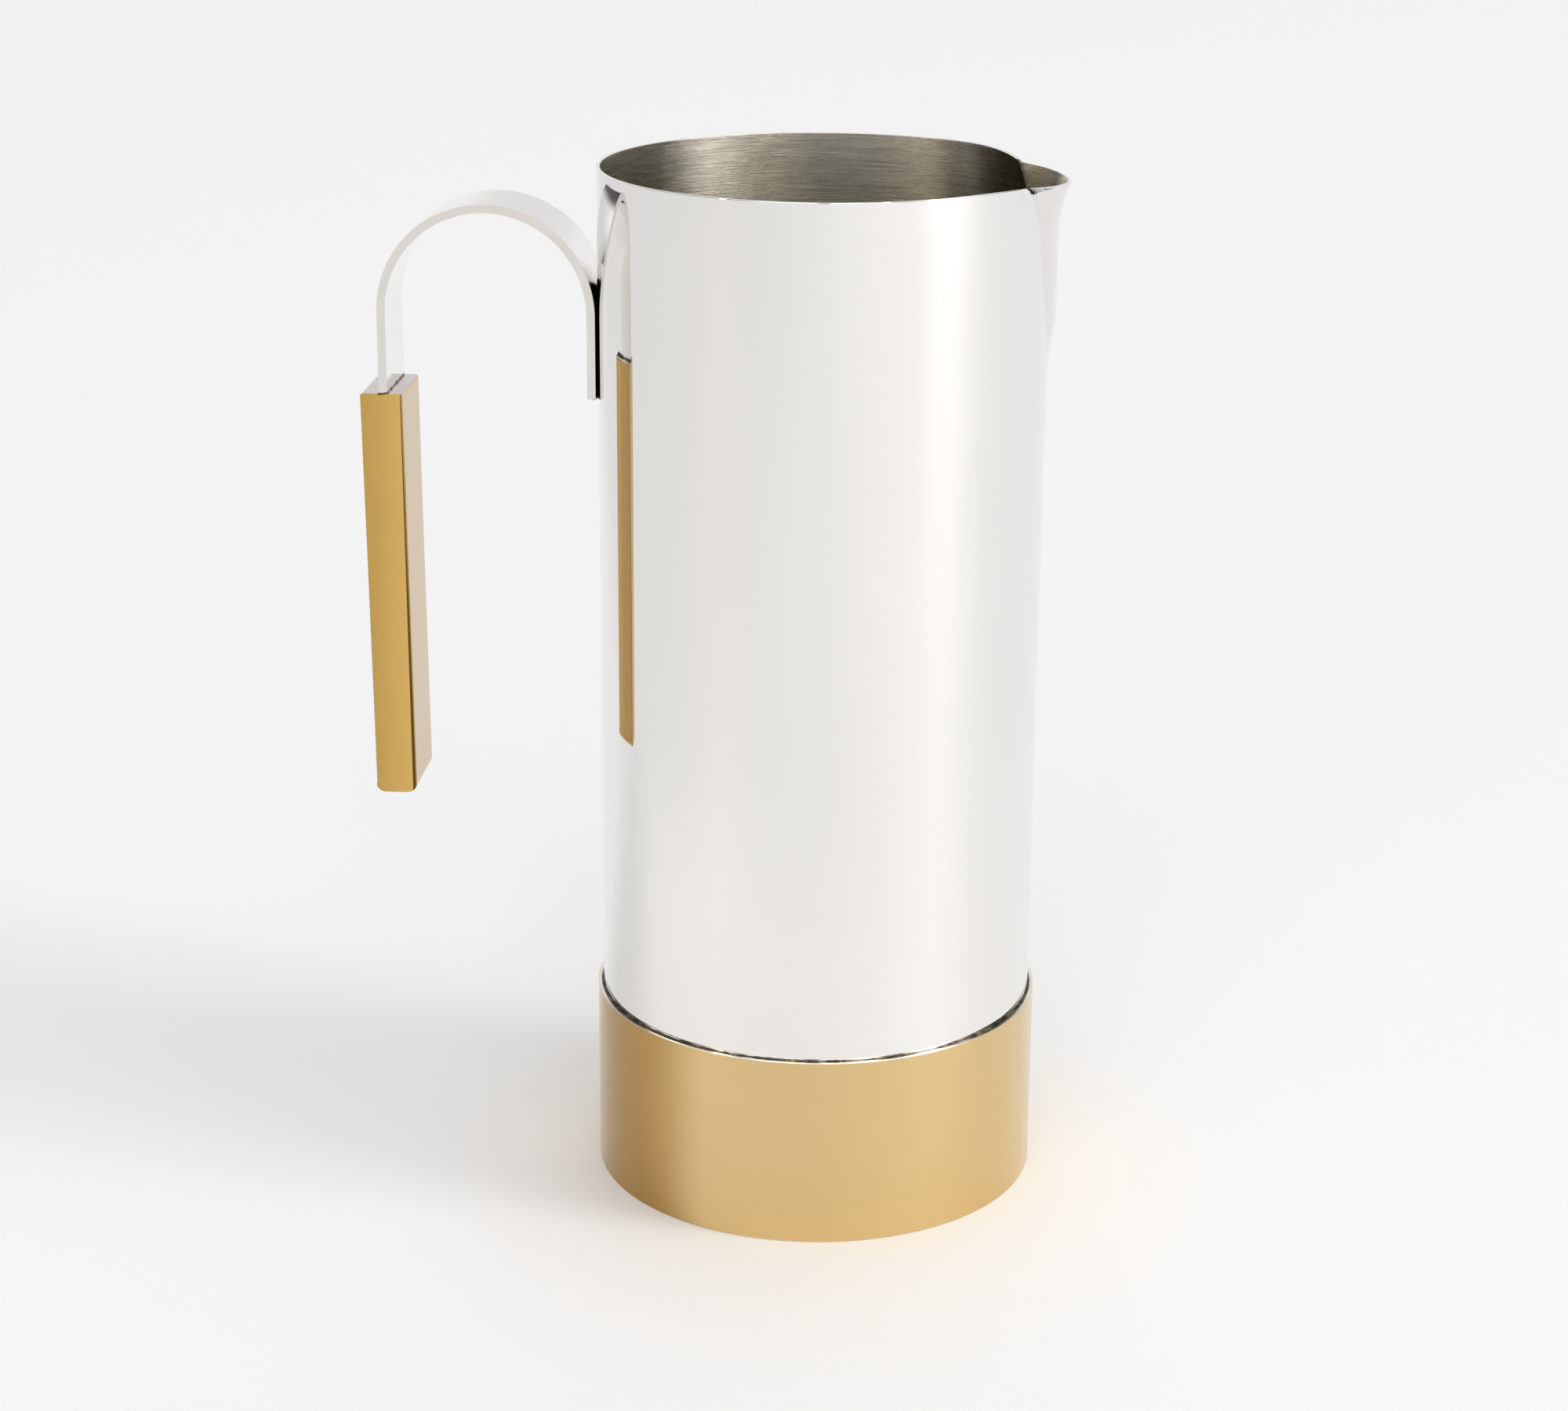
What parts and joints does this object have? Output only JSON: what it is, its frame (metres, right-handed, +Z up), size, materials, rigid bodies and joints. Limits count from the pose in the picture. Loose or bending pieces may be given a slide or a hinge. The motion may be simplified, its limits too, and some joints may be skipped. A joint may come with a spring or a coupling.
{
  "type": "cocktail pitcher",
  "caption": "Tall straight-sided steel pitcher with a pressed pouring spout, a brass sleeve round its foot and a rectangular brass grip hung from an arched steel strap.",
  "frame": {"origin": "on the body's axis at table level, at the centre of the sleeve's lower edge", "axes": "+Z up along the body's axis, -X towards the handle, +X towards the side with the spout"},
  "size_m": [0.1598, 0.1046, 0.24],
  "materials": {
    "body_steel": "stainless steel, mirror polished outside and brushed round inside",
    "strap_steel": "stainless steel, polished",
    "weld_steel": "weld bead, dull",
    "satin_brass": "brass, satin, finely brushed round, with small pits",
    "polished_brass": "brass, polished, with handling marks",
    "braze": "braze seam, darkened",
    "bond": "dark adhesive, dull"
  },
  "bodies": {
    "root": {"body_shell": "body_steel", "body_floor": "body_steel", "floor_weld": "weld_steel", "base_sleeve": "satin_brass", "sleeve_bond": "bond", "handle_strap": "strap_steel", "strap_weld": "weld_steel", "handle_grip": "polished_brass", "grip_braze": "braze"}
  },
  "joints": []
}
